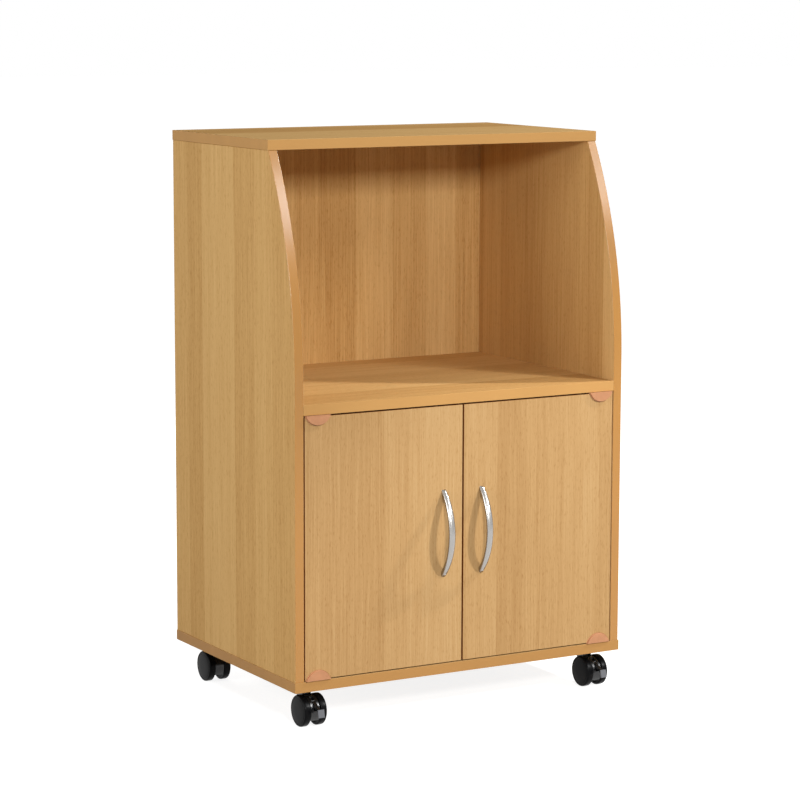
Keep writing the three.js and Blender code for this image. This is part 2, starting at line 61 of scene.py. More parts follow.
def onlySelect(piece):
    if bpy.context.object and bpy.context.object.mode != "OBJECT":
        bpy.ops.object.mode_set(mode="OBJECT")
    bpy.ops.object.select_all(action="DESELECT")
    if piece:
        piece.select_set(True)
        bpy.context.view_layer.objects.active = piece


def settle(name):
    # the new object takes its name, and its place goes into its mesh
    piece = bpy.context.object
    piece.name = piece.data.name = name
    bpy.ops.object.transform_apply(location=True, rotation=True, scale=True)
    return piece


def addBlock(name, low, high):
    onlySelect(None)
    bpy.ops.mesh.primitive_cube_add(size=1, location=[(a + b) / 2 for a, b in zip(low, high)])
    bpy.context.object.scale = [b - a for a, b in zip(low, high)]
    return settle(name)


def addRod(name, radius, start, end, facets=48):
    onlySelect(None)
    start, end = Vector(start), Vector(end)
    turn = (end - start).to_track_quat("Z", "Y").to_euler()
    bpy.ops.mesh.primitive_cylinder_add(
        vertices=facets, radius=radius, depth=(end - start).length, location=(start + end) / 2, rotation=turn)
    return settle(name)


def middleOf(node):
    return [(a + b) / 2 for a, b in zip(*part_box(node))]


def pick(piece, kind, test):
    # selects faces, edges or corners by their place and goes into edit mode
    onlySelect(piece)
    mesh = piece.data
    for group in (mesh.vertices, mesh.edges, mesh.polygons):
        group.foreach_set("select", [False] * len(group))
    if kind == "FACE":
        for face in mesh.polygons:
            face.select = test(face.center, face.normal)
    elif kind == "EDGE":
        for edge in mesh.edges:
            edge.select = all(test(mesh.vertices[corner].co) for corner in edge.vertices)
    else:
        for corner in mesh.vertices:
            corner.select = test(corner.co)
    bpy.context.tool_settings.mesh_select_mode = (kind == "VERT", kind == "EDGE", kind == "FACE")
    bpy.ops.object.mode_set(mode="EDIT")


def pushOut(move):
    bpy.ops.mesh.extrude_region_move(TRANSFORM_OT_translate={"value": move})


def closeShell():
    # still in edit mode: fills the open ends, merges what meets and turns every face outwards
    bpy.ops.mesh.select_all(action="DESELECT")
    bpy.ops.mesh.select_non_manifold()
    bpy.ops.mesh.fill_holes(sides=0)
    bpy.ops.mesh.select_all(action="SELECT")
    bpy.ops.mesh.remove_doubles(threshold=hair)
    bpy.ops.mesh.normals_make_consistent(inside=False)
    bpy.ops.object.mode_set(mode="OBJECT")


def trim(piece, place, away):
    # cuts off what lies beyond the plane and closes the cut
    pick(piece, "FACE", lambda centre, normal: True)
    bpy.ops.mesh.bisect(plane_co=place, plane_no=away, clear_outer=True, use_fill=True)
    bpy.ops.object.mode_set(mode="OBJECT")


def useModifier(piece, kind, **settings):
    onlySelect(piece)
    modifier = piece.modifiers.new(kind.lower(), kind)
    for field, value in settings.items():
        setattr(modifier, field, value)
    bpy.ops.object.modifier_apply(modifier=modifier.name)


def combine(piece, operation, others):
    for other in others:
        useModifier(piece, "BOOLEAN", operation=operation, solver="EXACT", object=other)
        bpy.data.objects.remove(other)


def join(pieces):
    onlySelect(pieces[0])
    for piece in pieces:
        piece.select_set(True)
    bpy.ops.object.join()
    return pieces[0]


def roundEdges(piece, width, segments=3, fromAngle=40):
    onlySelect(piece)
    bpy.ops.object.shade_smooth()
    useModifier(piece, "BEVEL", width=width, segments=segments, limit_method="ANGLE",
                angle_limit=math.radians(fromAngle), harden_normals=True)


def smooth(piece, fromAngle=35):
    onlySelect(piece)
    bpy.ops.object.shade_smooth_by_angle(angle=math.radians(fromAngle))


def dress(piece, finish, edgeFinish=None, isEdge=None):
    # one finish all over, or a second one on the faces that the test names
    piece.data.materials.clear()
    piece.data.materials.append(finish)
    if edgeFinish:
        piece.data.materials.append(edgeFinish)
        for face in piece.data.polygons:
            face.material_index = 1 if isEdge(face.center, face.normal) else 0


def copyPiece(piece, name, shift):
    onlySelect(piece)
    bpy.ops.object.duplicate()
    bpy.context.object.location = shift
    return settle(name)


def standIn(piece, slot, *nodeNames):
    # the piece rides where its node rides and is shown in its place
    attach(piece, bodyOfNode[nodeNames[0]])
    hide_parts(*nodeNames)


# finishes, all of them patterns on Object coordinates

def linear(colour, level=1.0):
    parts = [value / 255 for value in colour]
    return [level * (v / 12.92 if v < 0.04045 else ((v + 0.055) / 1.055) ** 2.4) for v in parts] + [1]


def newMaterial(name):
    material = bpy.data.materials.new(name)
    material.use_nodes = True
    return material, material.node_tree, material.node_tree.nodes["Principled BSDF"]


def addNode(tree, kind, inputs=None, **fields):
    made = tree.nodes.new("ShaderNode" + kind)
    for field, value in fields.items():
        setattr(made, field, value)
    for name, value in (inputs or {}).items():
        if isinstance(value, bpy.types.NodeSocket):
            tree.links.new(value, made.inputs[name])
        else:
            made.inputs[name].default_value = value
    return made


def timesPlus(tree, value, factor, rest):
    return addNode(tree, "Math", {0: value, 1: factor, 2: rest}, operation="MULTIPLY_ADD").outputs[0]


def placeOn(tree):
    return addNode(tree, "TexCoord").outputs["Object"]


def stretchedNoise(tree, place, scale, detail, seed):
    shift = (seed, seed * 1.7, seed * 0.6)
    moved = addNode(tree, "Mapping", {"Vector": place, "Scale": scale, "Location": shift}).outputs[0]
    noise = addNode(tree, "TexNoise", {"Vector": moved, "Scale": 1, "Detail": detail, "Roughness": 0.6})
    return noise.outputs["Fac"]


def paint(tree, shader, value, colour, spread, reach):
    # the colour, a little darker and paler as the value leaves its middle
    ramp = addNode(tree, "ValToRGB", {"Fac": value})
    stops = ramp.color_ramp.elements
    stops[0].position, stops[1].position = 0.5 - reach, 0.5 + reach
    stops[0].color, stops[1].color = linear(colour, 1 - spread), linear(colour, 1 + spread)
    tree.links.new(ramp.outputs["Color"], shader.inputs["Base Color"])


def grainOver(tree, shader, value, roughness, spread, strength, depth):
    # the same value roughens the surface and raises it
    least, most = roughness - spread, roughness + spread
    rough = addNode(tree, "MapRange", {"Value": value, "To Min": least, "To Max": most})
    tree.links.new(rough.outputs[0], shader.inputs["Roughness"])
    bump = addNode(tree, "Bump", {"Strength": strength, "Distance": depth, "Height": value})
    tree.links.new(bump.outputs[0], shader.inputs["Normal"])


def beechMaterial(name, board):
    # printed beech: planks of different tone, streaks, fine grain lines and short flecks
    material, tree, shader = newMaterial(name)
    seed = board["seed"]
    parts = addNode(tree, "SeparateXYZ", {"Vector": placeOn(tree)}).outputs
    across, through, along = (parts[axis] for axis in board["axes"])
    flat = addNode(tree, "CombineXYZ", {"X": across, "Y": through, "Z": along}).outputs[0]
    wave = stretchedNoise(tree, flat, board["waveScale"], detail=2, seed=seed)
    bend = timesPlus(tree, wave, board["wave"], across)
    bent = addNode(tree, "CombineXYZ", {"X": bend, "Y": through, "Z": along}).outputs[0]
    plankPlace = timesPlus(tree, across, 1 / board["plank"], seed)
    plank = addNode(tree, "TexVoronoi", {"W": plankPlace, "Scale": 1}, voronoi_dimensions="1D")
    plankTone = addNode(tree, "SeparateColor", {"Color": plank.outputs["Color"]}).outputs[0]
    streak = stretchedNoise(tree, bent, board["streakScale"], detail=3, seed=seed + 3)
    line = stretchedNoise(tree, bent, board["lineScale"], detail=2, seed=seed + 5)
    speck = stretchedNoise(tree, bent, board["fleckScale"], detail=1, seed=seed + 9)
    fleckFrom, fleckTo = board["fleckRange"]
    fleck = addNode(tree, "MapRange", {"Value": speck, "From Min": fleckFrom, "From Max": fleckTo}).outputs[0]
    shares = board["plankShare"] + board["streakShare"] + board["lineShare"]
    tone = timesPlus(tree, plankTone, board["plankShare"], 0.5 - shares / 2)
    tone = timesPlus(tree, streak, board["streakShare"], tone)
    tone = timesPlus(tree, line, board["lineShare"], tone)
    tone = timesPlus(tree, fleck, -board["fleckShare"], tone)
    ramp = addNode(tree, "ValToRGB", {"Fac": tone})
    stops = ramp.color_ramp.elements
    # the board's level darkens or lightens the whole ramp: painted light and shade
    stops[0].color = linear(board["deep"], board["level"])
    stops[1].color = linear(board["pale"], board["level"])
    stops.new(0.5).color = linear(board["middle"], board["level"])
    tree.links.new(ramp.outputs["Color"], shader.inputs["Base Color"])
    grainOver(tree, shader, line, board["roughness"], spread=0.05, strength=0.25, depth=board["grainDepth"])
    shader.inputs["Specular IOR Level"].default_value = 0
    return material


def bandMaterial(name, colour, roughness=0.36, shineLevel=0.05):
    # plain edge strip with faint long streaks
    material, tree, shader = newMaterial(name)
    streak = stretchedNoise(tree, placeOn(tree), scale=(6, 40, 6), detail=1, seed=4)
    paint(tree, shader, streak, colour, spread=0.04, reach=0.25)
    shader.inputs["Roughness"].default_value = roughness
    shader.inputs["Specular IOR Level"].default_value = shineLevel
    return material


def mouldedMaterial(name, colour, roughness, shineLevel=0.5, grain=900):
    # moulded plastic, faintly clouded, with a fine spark-eroded skin
    material, tree, shader = newMaterial(name)
    place = placeOn(tree)
    cloud = stretchedNoise(tree, place, scale=(60, 60, 60), detail=2, seed=7)
    paint(tree, shader, cloud, colour, spread=0.08, reach=0.2)
    skin = stretchedNoise(tree, place, scale=(grain, grain, grain), detail=2, seed=2)
    grainOver(tree, shader, skin, roughness, spread=0.04, strength=0.3, depth=0.03 * mm)
    shader.inputs["Specular IOR Level"].default_value = shineLevel
    return material


def metalMaterial(name, colour, roughness, scale, depth):
    # satin or plated metal: fine scratches run the way that the scale is smallest
    material, tree, shader = newMaterial(name)
    scratch = stretchedNoise(tree, placeOn(tree), scale, detail=3, seed=5)
    paint(tree, shader, scratch, colour, spread=0.03, reach=0.25)
    grainOver(tree, shader, scratch, roughness, spread=0.004, strength=0.3, depth=depth)
    shader.inputs["Metallic"].default_value = 1
    return material


beech = {
    "deep": (169, 125, 71), "middle": (200, 159, 102), "pale": (220, 184, 127),
    "level": 1.0, "roughness": 0.42, "grainDepth": 0.06 * mm,
    "plank": 0.06, "wave": 0.004, "waveScale": (9, 9, 3),
    "streakScale": (55, 55, 0.9), "lineScale": (430, 430, 5),
    "fleckScale": (700, 700, 110), "fleckRange": (0.56, 0.74),
    "plankShare": 0.36, "streakShare": 0.28, "lineShare": 0.7, "fleckShare": 0.25,
}
# the doors' level of 0.81 is painted shade, darker than the other boards of the same beech
doorBeech = {
    **beech, "deep": (170, 126, 76), "middle": (201, 160, 108), "pale": (221, 185, 134),
    "level": 0.81, "wave": 0.007, "waveScale": (22, 22, 9),
}
facing = {"axes": "XYZ"}  # boards that face the front, with upright grain
sideways = {"axes": "YXZ"}  # the side panels, with upright grain
lying = {"axes": "YZX", "plank": 0.11}  # shelves, with grain from left to right
# each board's level scales the same beech colour as painted light and shade: the top panel and doors darker,
# the shelf, back and sides lighter, standing in for the light that each board gets
boards = {
    "topPanel": {**beech, **lying, "seed": 3.1, "level": 0.84},
    "bottomPanel": {**beech, **lying, "seed": 8.4, "level": 0.95},
    "middleShelf": {**beech, **lying, "seed": 5.7, "level": 1.1},
    "backPanel": {**beech, **facing, "seed": 12.3, "level": 1.12, "lineShare": 0.9, "plankShare": 0.48},
    "leftSide": {**beech, **sideways, "seed": 1.9, "level": 1.1, "plankShare": 0.24},
    "rightSide": {**beech, **sideways, "seed": 22.6, "level": 1.05},
    "leftDoor": {**doorBeech, **facing, "seed": 31.2},
    "rightDoor": {**doorBeech, **facing, "seed": 44.8},
}
boardFinish = {name: beechMaterial(name + "Beech", board) for name, board in boards.items()}
frontBand = bandMaterial("frontEdgeBand", (189, 143, 86))
bottomBand = bandMaterial("bottomEdgeBand", (174, 129, 76))
sideBand = bandMaterial("sideEdgeBand", (168, 115, 40), roughness=0.27, shineLevel=0.75)
# the door edges' strip is painted darker than the other edge strips, as shade, so that the gaps round the
# doors look dark
shadedDoorBand = bandMaterial("shadedDoorEdgeBand", (140, 84, 42))
bareFibreboard = mouldedMaterial("bareFibreboard", (150, 112, 78), roughness=0.6, shineLevel=0.3, grain=500)
capPlastic = mouldedMaterial("capPlastic", (181, 128, 92), roughness=0.42, shineLevel=0.2)
casterPlastic = mouldedMaterial("casterPlastic", (14, 14, 15), roughness=0.24)
wheelPlastic = mouldedMaterial("wheelPlastic", (9, 9, 10), roughness=0.3, shineLevel=0.06)
# the pedal plate's grey is a painted reflection on the black caster plastic
pedalReflectionGrey = mouldedMaterial("pedalReflectionGrey", (92, 93, 97), roughness=0.34)
catchPlastic = mouldedMaterial("catchPlastic", (48, 46, 45), roughness=0.5)
satinSilver = metalMaterial("satinSilver", (160, 157, 153), 0.27, scale=(900, 900, 40), depth=0.0002 * mm)
zincPlate = metalMaterial("zincPlate", (192, 192, 196), 0.32, scale=(300, 300, 300), depth=0.003 * mm)
print("finishes made")


# the carcass: three lying boards, two sides with a curved front edge, and the back

carcass = {
    "edgeRound": 0.7 * mm, "play": 0.3 * mm,  # the play of what sits in a board
    "past": 1 * mm,  # how far a cutter runs on past what it cuts
}
nutBore = {"share": 0.5, "play": 0, "below": 20 * mm, "above": 5 * mm}  # for the barrel, not the flange


def boardLike(node, name, band, cutters=()):
    board = addBlock(name, *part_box(node))
    combine(board, "DIFFERENCE", cutters)
    dress(board, boardFinish[name], band, lambda centre, normal: abs(normal.z) < 0.5)
    roundEdges(board, carcass["edgeRound"])
    standIn(board, "beech_board", node)


def boreFor(node, share=1, play=carcass["play"], below=carcass["past"], above=carcass["past"]):
    # a bore along Z that a round piece leaves in its board
    low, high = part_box(node)
    x, y = middleOf(node)[:2]
    radius = share * (high.x - low.x) / 2 + play
    return addRod("bore", radius, (x, y, low.z - below), (x, y, high.z + above), facets=32)


def makeLyingBoards():
    boardLike("top_panel", "topPanel", frontBand)
    bores = [boreFor(side + "_upper_hinge_bush") for side in sides]
    boardLike("middle_shelf", "middleShelf", frontBand, bores)
    bores = [boreFor(side + "_lower_hinge_bush") for side in sides]
    bores += [boreFor(side + "_" + end + "_side_screw") for side in sides for end in ("front", "rear")]
    bores += [boreFor(caster + "_caster_tee_nut", **nutBore) for caster in casterNames]
    boardLike("bottom_panel", "bottomPanel", bottomBand, bores)


sideCurve = {
    "start": 540 * mm,  # where the front edge starts to lean back
    "behindTop": 1 * mm,  # how far behind the top's front edge the curve ends
    "steps": 48, "rebateDepth": 5 * mm, "roundFrom": 25,
}


def makeSide(side):
    node = side + "_side_panel"
    low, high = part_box(node)
    start, past, play = sideCurve["start"], carcass["past"], carcass["play"]
    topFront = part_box("top_panel")[0].y + sideCurve["behindTop"]
    rise, setBack = high.z - start, topFront - low.y
    radius = (rise * rise + setBack * setBack) / (2 * setBack)
    middle = (low.x + high.x) / 2
    onlySelect(None)  # a plate on the straight part of the front edge
    straight = start - low.z
    bpy.ops.mesh.primitive_plane_add(
        size=1, location=(middle, low.y, low.z + straight / 2), rotation=(math.pi / 2, 0, 0))
    bpy.context.object.scale = (high.x - low.x, straight, 1)
    panel = settle(side + "Side")
    pick(panel, "EDGE", lambda place: place.z > start - past)  # its upper edge runs on along the curve
    bpy.ops.mesh.spin(steps=sideCurve["steps"], angle=math.asin(rise / radius),
                      center=(middle, low.y + radius, start), axis=(1, 0, 0))
    pick(panel, "EDGE", lambda place: place.z > high.z - hair)  # then back along the top and down the back
    pushOut((0, high.y - topFront, 0))
    pushOut((0, 0, low.z - high.z))
    pick(panel, "EDGE", lambda place: place.z < low.z + hair)
    bpy.ops.mesh.edge_face_add()
    closeShell()
    backLow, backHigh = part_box("back_panel")
    inner = high.x if side == "left" else low.x
    reach = max(abs(backLow.x), abs(backHigh.x)) + play
    ends = sorted((math.copysign(reach, inner), inner - math.copysign(sideCurve["rebateDepth"], inner)))
    rebate = addBlock("rebate", (ends[0], backLow.y - play, low.z - past),
                      (ends[1], high.y + past, high.z + past))
    combine(panel, "DIFFERENCE", [rebate])
    dress(panel, boardFinish[side + "Side"], sideBand, lambda centre, normal: abs(normal.x) < 0.5)
    roundEdges(panel, carcass["edgeRound"], fromAngle=sideCurve["roundFrom"])
    standIn(panel, "beech_board", node)


backNails = {
    "radius": 1.7 * mm, "length": 3 * mm, "sunk": 0.25 * mm, "edge": 0.3 * mm, "play": 0.2 * mm,
    "fromEdge": 4 * mm, "across": 6, "up": 7,  # the gaps between nails, across and up
}


def makeBack():
    low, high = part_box("back_panel")
    inset, across, up, sunk = (backNails[size] for size in ("fromEdge", "across", "up", "sunk"))
    xs = [low.x + inset + (high.x - low.x - 2 * inset) * i / across for i in range(across + 1)]
    zs = [low.z + inset + (high.z - low.z - 2 * inset) * i / up for i in range(up + 1)]
    places = [(x, z) for x in xs for z in zs if x in (xs[0], xs[-1]) or z in (zs[0], zs[-1])]
    back = addBlock("backPanel", low, high)
    dimpleRadius = backNails["radius"] + backNails["play"]
    combine(back, "DIFFERENCE", [join([
        addRod("dimple", dimpleRadius, (x, high.y - 2 * sunk, z), (x, high.y + carcass["past"], z), facets=16)
        for x, z in places])])
    dress(back, boardFinish["backPanel"], bareFibreboard, lambda centre, normal: centre.y > low.y + 10 * hair)
    smooth(back)
    standIn(back, "back_board", "back_panel")
    point = high.y - backNails["length"]
    heads = join([
        addRod("nail", backNails["radius"], (x, point, z), (x, high.y - sunk, z), facets=16)
        for x, z in places])
    heads.name = heads.data.name = "backNails"
    dress(heads, zincPlate)
    roundEdges(heads, backNails["edge"], segments=2)
    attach(heads, "root")


makeLyingBoards()
for side in sides:
    makeSide(side)
makeBack()
print("carcass made")


# doors, their half-moon hinge caps and their handles

cap = {
    "radius": 23.125 * mm, "height": 16 * mm, "taper": 1 * mm, "proud": 3 * mm,
    "lip": 0.6 * mm, "roundFrom": 50,
    "pocketPlay": 0.15 * mm, "pocketPast": 2 * mm,  # the pocket is this much larger than the cap
}


def halfMoon(name, node, grow=0.0, past=0.0):
    # a disc in the door with a smaller one in front, cut off straight at the edge that it turns against
    low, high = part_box(node)
    up = node.endswith("upper_hinge_cap")
    flat = high.z if up else low.z
    away = 1 if up else -1
    x, z = (low.x + high.x) / 2, flat + away * (cap["radius"] - cap["height"])
    disc = addRod(name, cap["radius"] + grow, (x, high.y + grow, z), (x, low.y + cap["proud"], z), facets=96)
    pick(disc, "FACE", lambda centre, normal: normal.y < -0.9)
    if not grow:
        bpy.ops.mesh.inset(thickness=cap["taper"])
    pushOut((0, -cap["proud"], 0))
    trim(disc, (0, 0, flat + away * past), (0, 0, away))
    return disc


def makeCaps(side):
    for level in levels:
        node = side + "_door_" + level + "_hinge_cap"
        piece = halfMoon(side + level.title() + "Cap", node)
        dress(piece, capPlastic)
        roundEdges(piece, cap["lip"], fromAngle=cap["roundFrom"])
        standIn(piece, "hinge_plastic", node)


door = {"edgeRound": 0.9 * mm, "screwBore": 1.9 * mm}


def makeDoor(side):
    node = side + "_door"
    low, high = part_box(node)
    past = carcass["past"]
    cutters = []
    for level in levels:
        capNode = side + "_door_" + level + "_hinge_cap"
        cutters.append(halfMoon("pocket", capNode, cap["pocketPlay"], cap["pocketPast"]))
    for level in levels:
        x, z = middleOf(side + "_handle_" + level + "_screw")[::2]
        ends = (x, low.y - past, z), (x, high.y + past, z)
        cutters.append(addRod("bore", door["screwBore"], *ends, facets=24))
    panel = addBlock(side + "Door", low, high)
    combine(panel, "DIFFERENCE", cutters)
    # the door's edges get the strip that is painted darker as shade
    dress(panel, boardFinish[side + "Door"], shadedDoorBand, lambda centre, normal: abs(normal.y) < 0.5)
    roundEdges(panel, door["edgeRound"])
    standIn(panel, "beech_board", node)


bow = {
    "halfFeet": 64.5 * mm, "reach": 25.4 * mm,  # of the bow's middle line, from its centre and from the door
    "midWidth": 11.2 * mm, "endWidth": 9 * mm, "midThick": 8.4 * mm, "endThick": 9 * mm,
    "widthPower": 2, "thickPower": 2.5,  # the larger, the nearer to the ends the section changes
    "steps": 44, "overrun": 6,  # degrees that the bow runs on behind the door's face
    "tip": 69 * mm,
}


def makeHandle():
    # a section spun along the bow, thinned and widened ring by ring, and cut off at the door's face
    x, z = middleOf("left_handle")[::2]
    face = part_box("left_handle")[1].y
    radius = (bow["halfFeet"] ** 2 + bow["reach"] ** 2) / (2 * bow["reach"])
    centre = Vector((x, face - bow["reach"] + radius, z))
    spread = math.asin(bow["halfFeet"] / radius) + math.radians(bow["overrun"])
    onlySelect(None)
    start = centre + radius * Vector((0, -math.cos(spread), -math.sin(spread)))
    bpy.ops.mesh.primitive_circle_add(vertices=32, radius=0.5, location=start, rotation=(spread, 0, 0))
    bpy.context.object.scale = (bow["midWidth"], bow["midThick"], 1)
    handle = settle("leftHandle")
    pick(handle, "VERT", lambda place: True)
    bpy.ops.mesh.spin(steps=bow["steps"], angle=2 * spread, center=centre, axis=(1, 0, 0))
    bpy.ops.mesh.select_all(action="SELECT")
    bpy.ops.mesh.remove_doubles(threshold=hair / 10)
    near = 0.4 * radius * 2 * spread / bow["steps"]  # less than half the way to the next ring
    for step in range(bow["steps"] + 1):
        turn = spread * (2 * step / bow["steps"] - 1)
        ring = centre + radius * Vector((0, -math.cos(turn), math.sin(turn)))
        share = abs(turn) / spread
        wide = 1 + (bow["endWidth"] / bow["midWidth"] - 1) * share ** bow["widthPower"]
        thick = 1 + (bow["endThick"] / bow["midThick"] - 1) * share ** bow["thickPower"]

        def onRing(place):
            flat = Vector((0, place.y - centre.y, place.z - centre.z)).normalized()
            return (flat * radius + centre - ring).length < near

        pick(handle, "VERT", onRing)
        bpy.ops.transform.resize(value=(wide, thick, thick), center_override=ring)
    closeShell()
    trim(handle, (x, face, z), (0, 1, 0))
    for end in (-1, 1):
        trim(handle, (x, face, z + end * bow["tip"]), (0, 0, end))
    dress(handle, satinSilver)
    smooth(handle, fromAngle=50)
    apart = middleOf("right_handle")[0] - x
    standIn(copyPiece(handle, "rightHandle", (apart, 0, 0)), "handle_satin", "right_handle")
    standIn(handle, "handle_satin", "left_handle")


for side in sides:
    makeDoor(side)
    makeCaps(side)
makeHandle()
print("doors made")


# screws, catches and strike plates on the doors' inner faces

screw = {
    "headRadius": 4 * mm, "head": 2.4 * mm, "dome": 1.1 * mm, "shank": 1.6 * mm, "overlap": 0.2 * mm,
    "slot": (5 * mm, 1 * mm), "slotDepth": 1.2 * mm,
}


def makeScrew(node, name):
    low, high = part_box(node)
    x, z = middleOf(node)[::2]
    base = high.y - screw["head"]
    head = addRod("handleScrew", screw["headRadius"], (x, base, z), (x, high.y, z))
    pick(head, "EDGE", lambda place: place.y > high.y - 10 * hair)
    bpy.ops.mesh.bevel(offset=screw["dome"], segments=4)
    bpy.ops.object.mode_set(mode="OBJECT")
    shank = addRod("shank", screw["shank"], (x, low.y, z), (x, base + screw["overlap"], z), facets=24)
    combine(head, "UNION", [shank])
    length, width = (size / 2 for size in screw["slot"])
    for halfX, halfZ in ((length, width), (width, length)):
        slotLow = (x - halfX, high.y - screw["slotDepth"], z - halfZ)
        slot = addBlock("slot", slotLow, (x + halfX, high.y + carcass["past"], z + halfZ))
        combine(head, "DIFFERENCE", [slot])
    dress(head, zincPlate)
    smooth(head, fromAngle=30)
    head.name = head.data.name = name
    return head


def makeHandleScrews():
    first = "left_handle_upper_screw"
    modelled = makeScrew(first, "leftUpperScrew")
    for side in sides:
        for level in levels:
            node, piece = side + "_handle_" + level + "_screw", modelled
            if node != first:
                hereX, hereZ = middleOf(first)[::2]
                thereX, thereZ = middleOf(node)[::2]
                shift = (thereX - hereX, 0, thereZ - hereZ)
                piece = copyPiece(modelled, side + level.title() + "Screw", shift)
            standIn(piece, "zinc_steel", node)


catch = {
    "edge": 1.2 * mm, "reach": 1 * mm,  # how far the poles stand out of the housing
    "poleLength": 24 * mm, "poleThick": 1.5 * mm, "poleDepth": 4 * mm, "poleEdge": 0.2 * mm,
    "polesApart": 6.5 * mm,
}
strike = {"edge": 0.15 * mm, "sink": 2.6 * mm, "sinkDepth": 0.4 * mm, "shank": 1.5 * mm, "overlap": 0.3 * mm}


def makeCatch(side):
    node = side + "_catch"
    low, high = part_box(node)
    housing = addBlock(side + "Catch", (low.x, low.y + catch["reach"], low.z), high)
    roundEdges(housing, catch["edge"])
    dress(housing, catchPlastic)
    standIn(housing, "catch_plastic", node)
    x, z = middleOf(node)[::2]
    halfLength, halfThick = catch["poleLength"] / 2, catch["poleThick"] / 2
    for number, offset in enumerate((-catch["polesApart"] / 2, catch["polesApart"] / 2)):
        pole = addBlock(side + "Pole" + str(number), (x - halfLength, low.y, z + offset - halfThick),
                        (x + halfLength, low.y + catch["poleDepth"], z + offset + halfThick))
        roundEdges(pole, catch["poleEdge"], segments=2)
        dress(pole, zincPlate)
        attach(pole, "root")


def makeStrike(side):
    node = side + "_strike_plate"
    low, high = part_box(node)
    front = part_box(side + "_door")[1].y
    plate = addBlock(side + "Strike", (low.x, front, low.z), high)
    x, z = middleOf(node)[::2]
    sinkFloor = high.y - strike["sinkDepth"]
    sink = addRod("sink", strike["sink"], (x, sinkFloor, z), (x, high.y + carcass["past"], z), facets=32)
    combine(plate, "DIFFERENCE", [sink])
    shank = addRod("shank", strike["shank"], (x, low.y, z), (x, front + strike["overlap"], z), facets=24)
    combine(plate, "UNION", [shank])
    dress(plate, zincPlate)
    roundEdges(plate, strike["edge"], segments=2)
    standIn(plate, "zinc_steel", node)


makeHandleScrews()
for side in sides:
    makeCatch(side)
    makeStrike(side)
print("fittings made")


# casters: each piece is modelled once and copied to the other corners

wheel = {
    "shoulder": 2.6 * mm, "innerEdge": 1.4 * mm,  # bevels of the tyre, outside and inside
    "grooveIn": 3.6 * mm, "groove": 0.7 * mm, "grooveDepth": 0.45 * mm, "grooveWall": 0.15 * mm,
    "dish": 0.6 * mm, "dishShare": 0.6, "dishRing": 3 * mm, "dishSlope": 9 * mm,  # the cover disc bulges out
    "rim": 2.2 * mm, "hollow": 1.2 * mm, "hollowWall": 1 * mm,  # the side that faces the hood
}


def makeWheel():
    # a tyre with a rounded shoulder, a groove and a shallow cover disc
    node = "front_left_caster_left_wheel"
    low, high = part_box(node)
    y, axle = middleOf(node)[1:]
    outer = low.x + wheel["dish"]
    disc = addRod("frontLeftLeftWheel", axle - low.z, (outer, y, axle), (high.x, y, axle), facets=96)
    pick(disc, "EDGE", lambda place: place.x < outer + hair)
    bpy.ops.mesh.bevel(offset=wheel["shoulder"], segments=6)
    pick(disc, "EDGE", lambda place: place.x > high.x - hair)
    bpy.ops.mesh.bevel(offset=wheel["innerEdge"], segments=4)
    pick(disc, "FACE", lambda centre, normal: normal.x < -0.999)
    bpy.ops.mesh.inset(thickness=wheel["grooveIn"] - wheel["shoulder"])
    bpy.ops.mesh.inset(thickness=wheel["grooveWall"], depth=-wheel["grooveDepth"])
    bpy.ops.mesh.inset(thickness=wheel["groove"])
    bpy.ops.mesh.inset(thickness=wheel["grooveWall"], depth=wheel["grooveDepth"])
    bpy.ops.mesh.inset(thickness=wheel["dishRing"], depth=wheel["dish"] * wheel["dishShare"])
    bpy.ops.mesh.inset(thickness=wheel["dishSlope"], depth=wheel["dish"] * (1 - wheel["dishShare"]))
    pick(disc, "FACE", lambda centre, normal: normal.x > 0.999)
    bpy.ops.mesh.inset(thickness=wheel["rim"])
    bpy.ops.mesh.inset(thickness=wheel["hollowWall"], depth=-wheel["hollow"])
    bpy.ops.object.mode_set(mode="OBJECT")
    dress(disc, wheelPlastic)
    smooth(disc, fromAngle=28)
    return disc


def turnWheel(leftWheel):
    # the other wheel of the twin, turned about the middle of the axle
    x, y = middleOf("front_left_caster_axle")[:2]
    onlySelect(leftWheel)
    bpy.ops.object.duplicate()
    bpy.context.object.rotation_euler = (0, 0, math.pi)
    bpy.context.object.location = (2 * x, 2 * y, 0)
    return settle("frontLeftRightWheel")


hood = {
    "radius": 22.5 * mm, "cut": 13 * mm, "edge": 0.9 * mm, "wheelGap": 1 * mm,
    "boss": 9.5 * mm, "bossDrop": 2 * mm, "overlap": 1 * mm,
    "crown": 11 * mm, "crownHeight": 4 * mm, "bore": 4.3 * mm,
    "slot": 5.8 * mm, "slotFloor": 27 * mm, "slotBack": 6 * mm,  # for the pedal's arm, on the front casters
}


